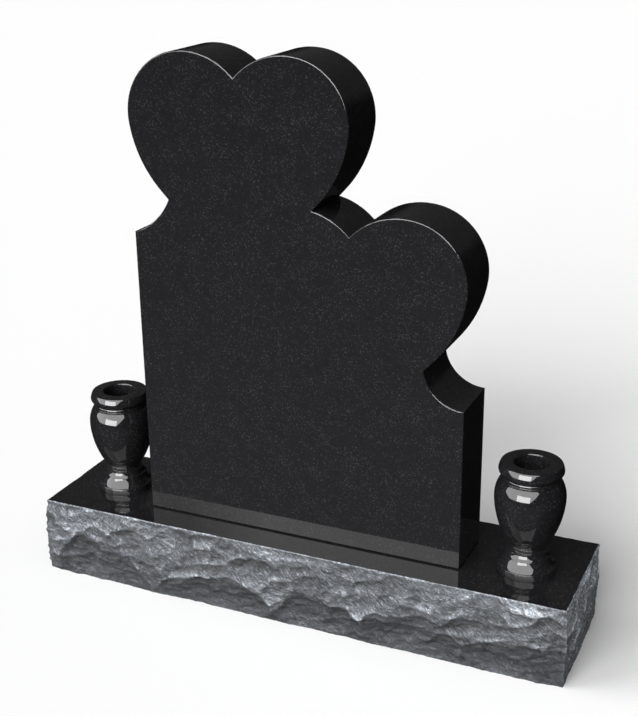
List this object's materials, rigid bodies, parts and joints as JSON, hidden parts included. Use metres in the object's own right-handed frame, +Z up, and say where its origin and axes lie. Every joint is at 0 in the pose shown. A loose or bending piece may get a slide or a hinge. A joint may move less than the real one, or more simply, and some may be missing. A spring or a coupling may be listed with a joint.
{
  "type": "heart headstone",
  "caption": "Upright granite headstone: a slab cut to two stepped hearts, on a long rock-pitched base with a turned flower vase at each end.",
  "frame": {"origin": "middle of the base's flat underside, where the headstone stands on its foundation", "axes": "+X along the base from the taller heart's side to the lower heart's side, +Y from the inscription face to the back, +Z up"},
  "size_m": [1.0821, 0.2825, 1.0526],
  "materials": {
    "pitched_granite": "rock-pitched sides in grey, with a polished black top and a sawn underside",
    "polished_granite": "fine-grained black granite, polished all round",
    "turned_granite": "fine-grained black granite, turned and polished"
  },
  "bodies": {
    "root": {"base": "pitched_granite", "tablet": "polished_granite", "vase_left": "turned_granite", "vase_right": "turned_granite"}
  },
  "joints": []
}
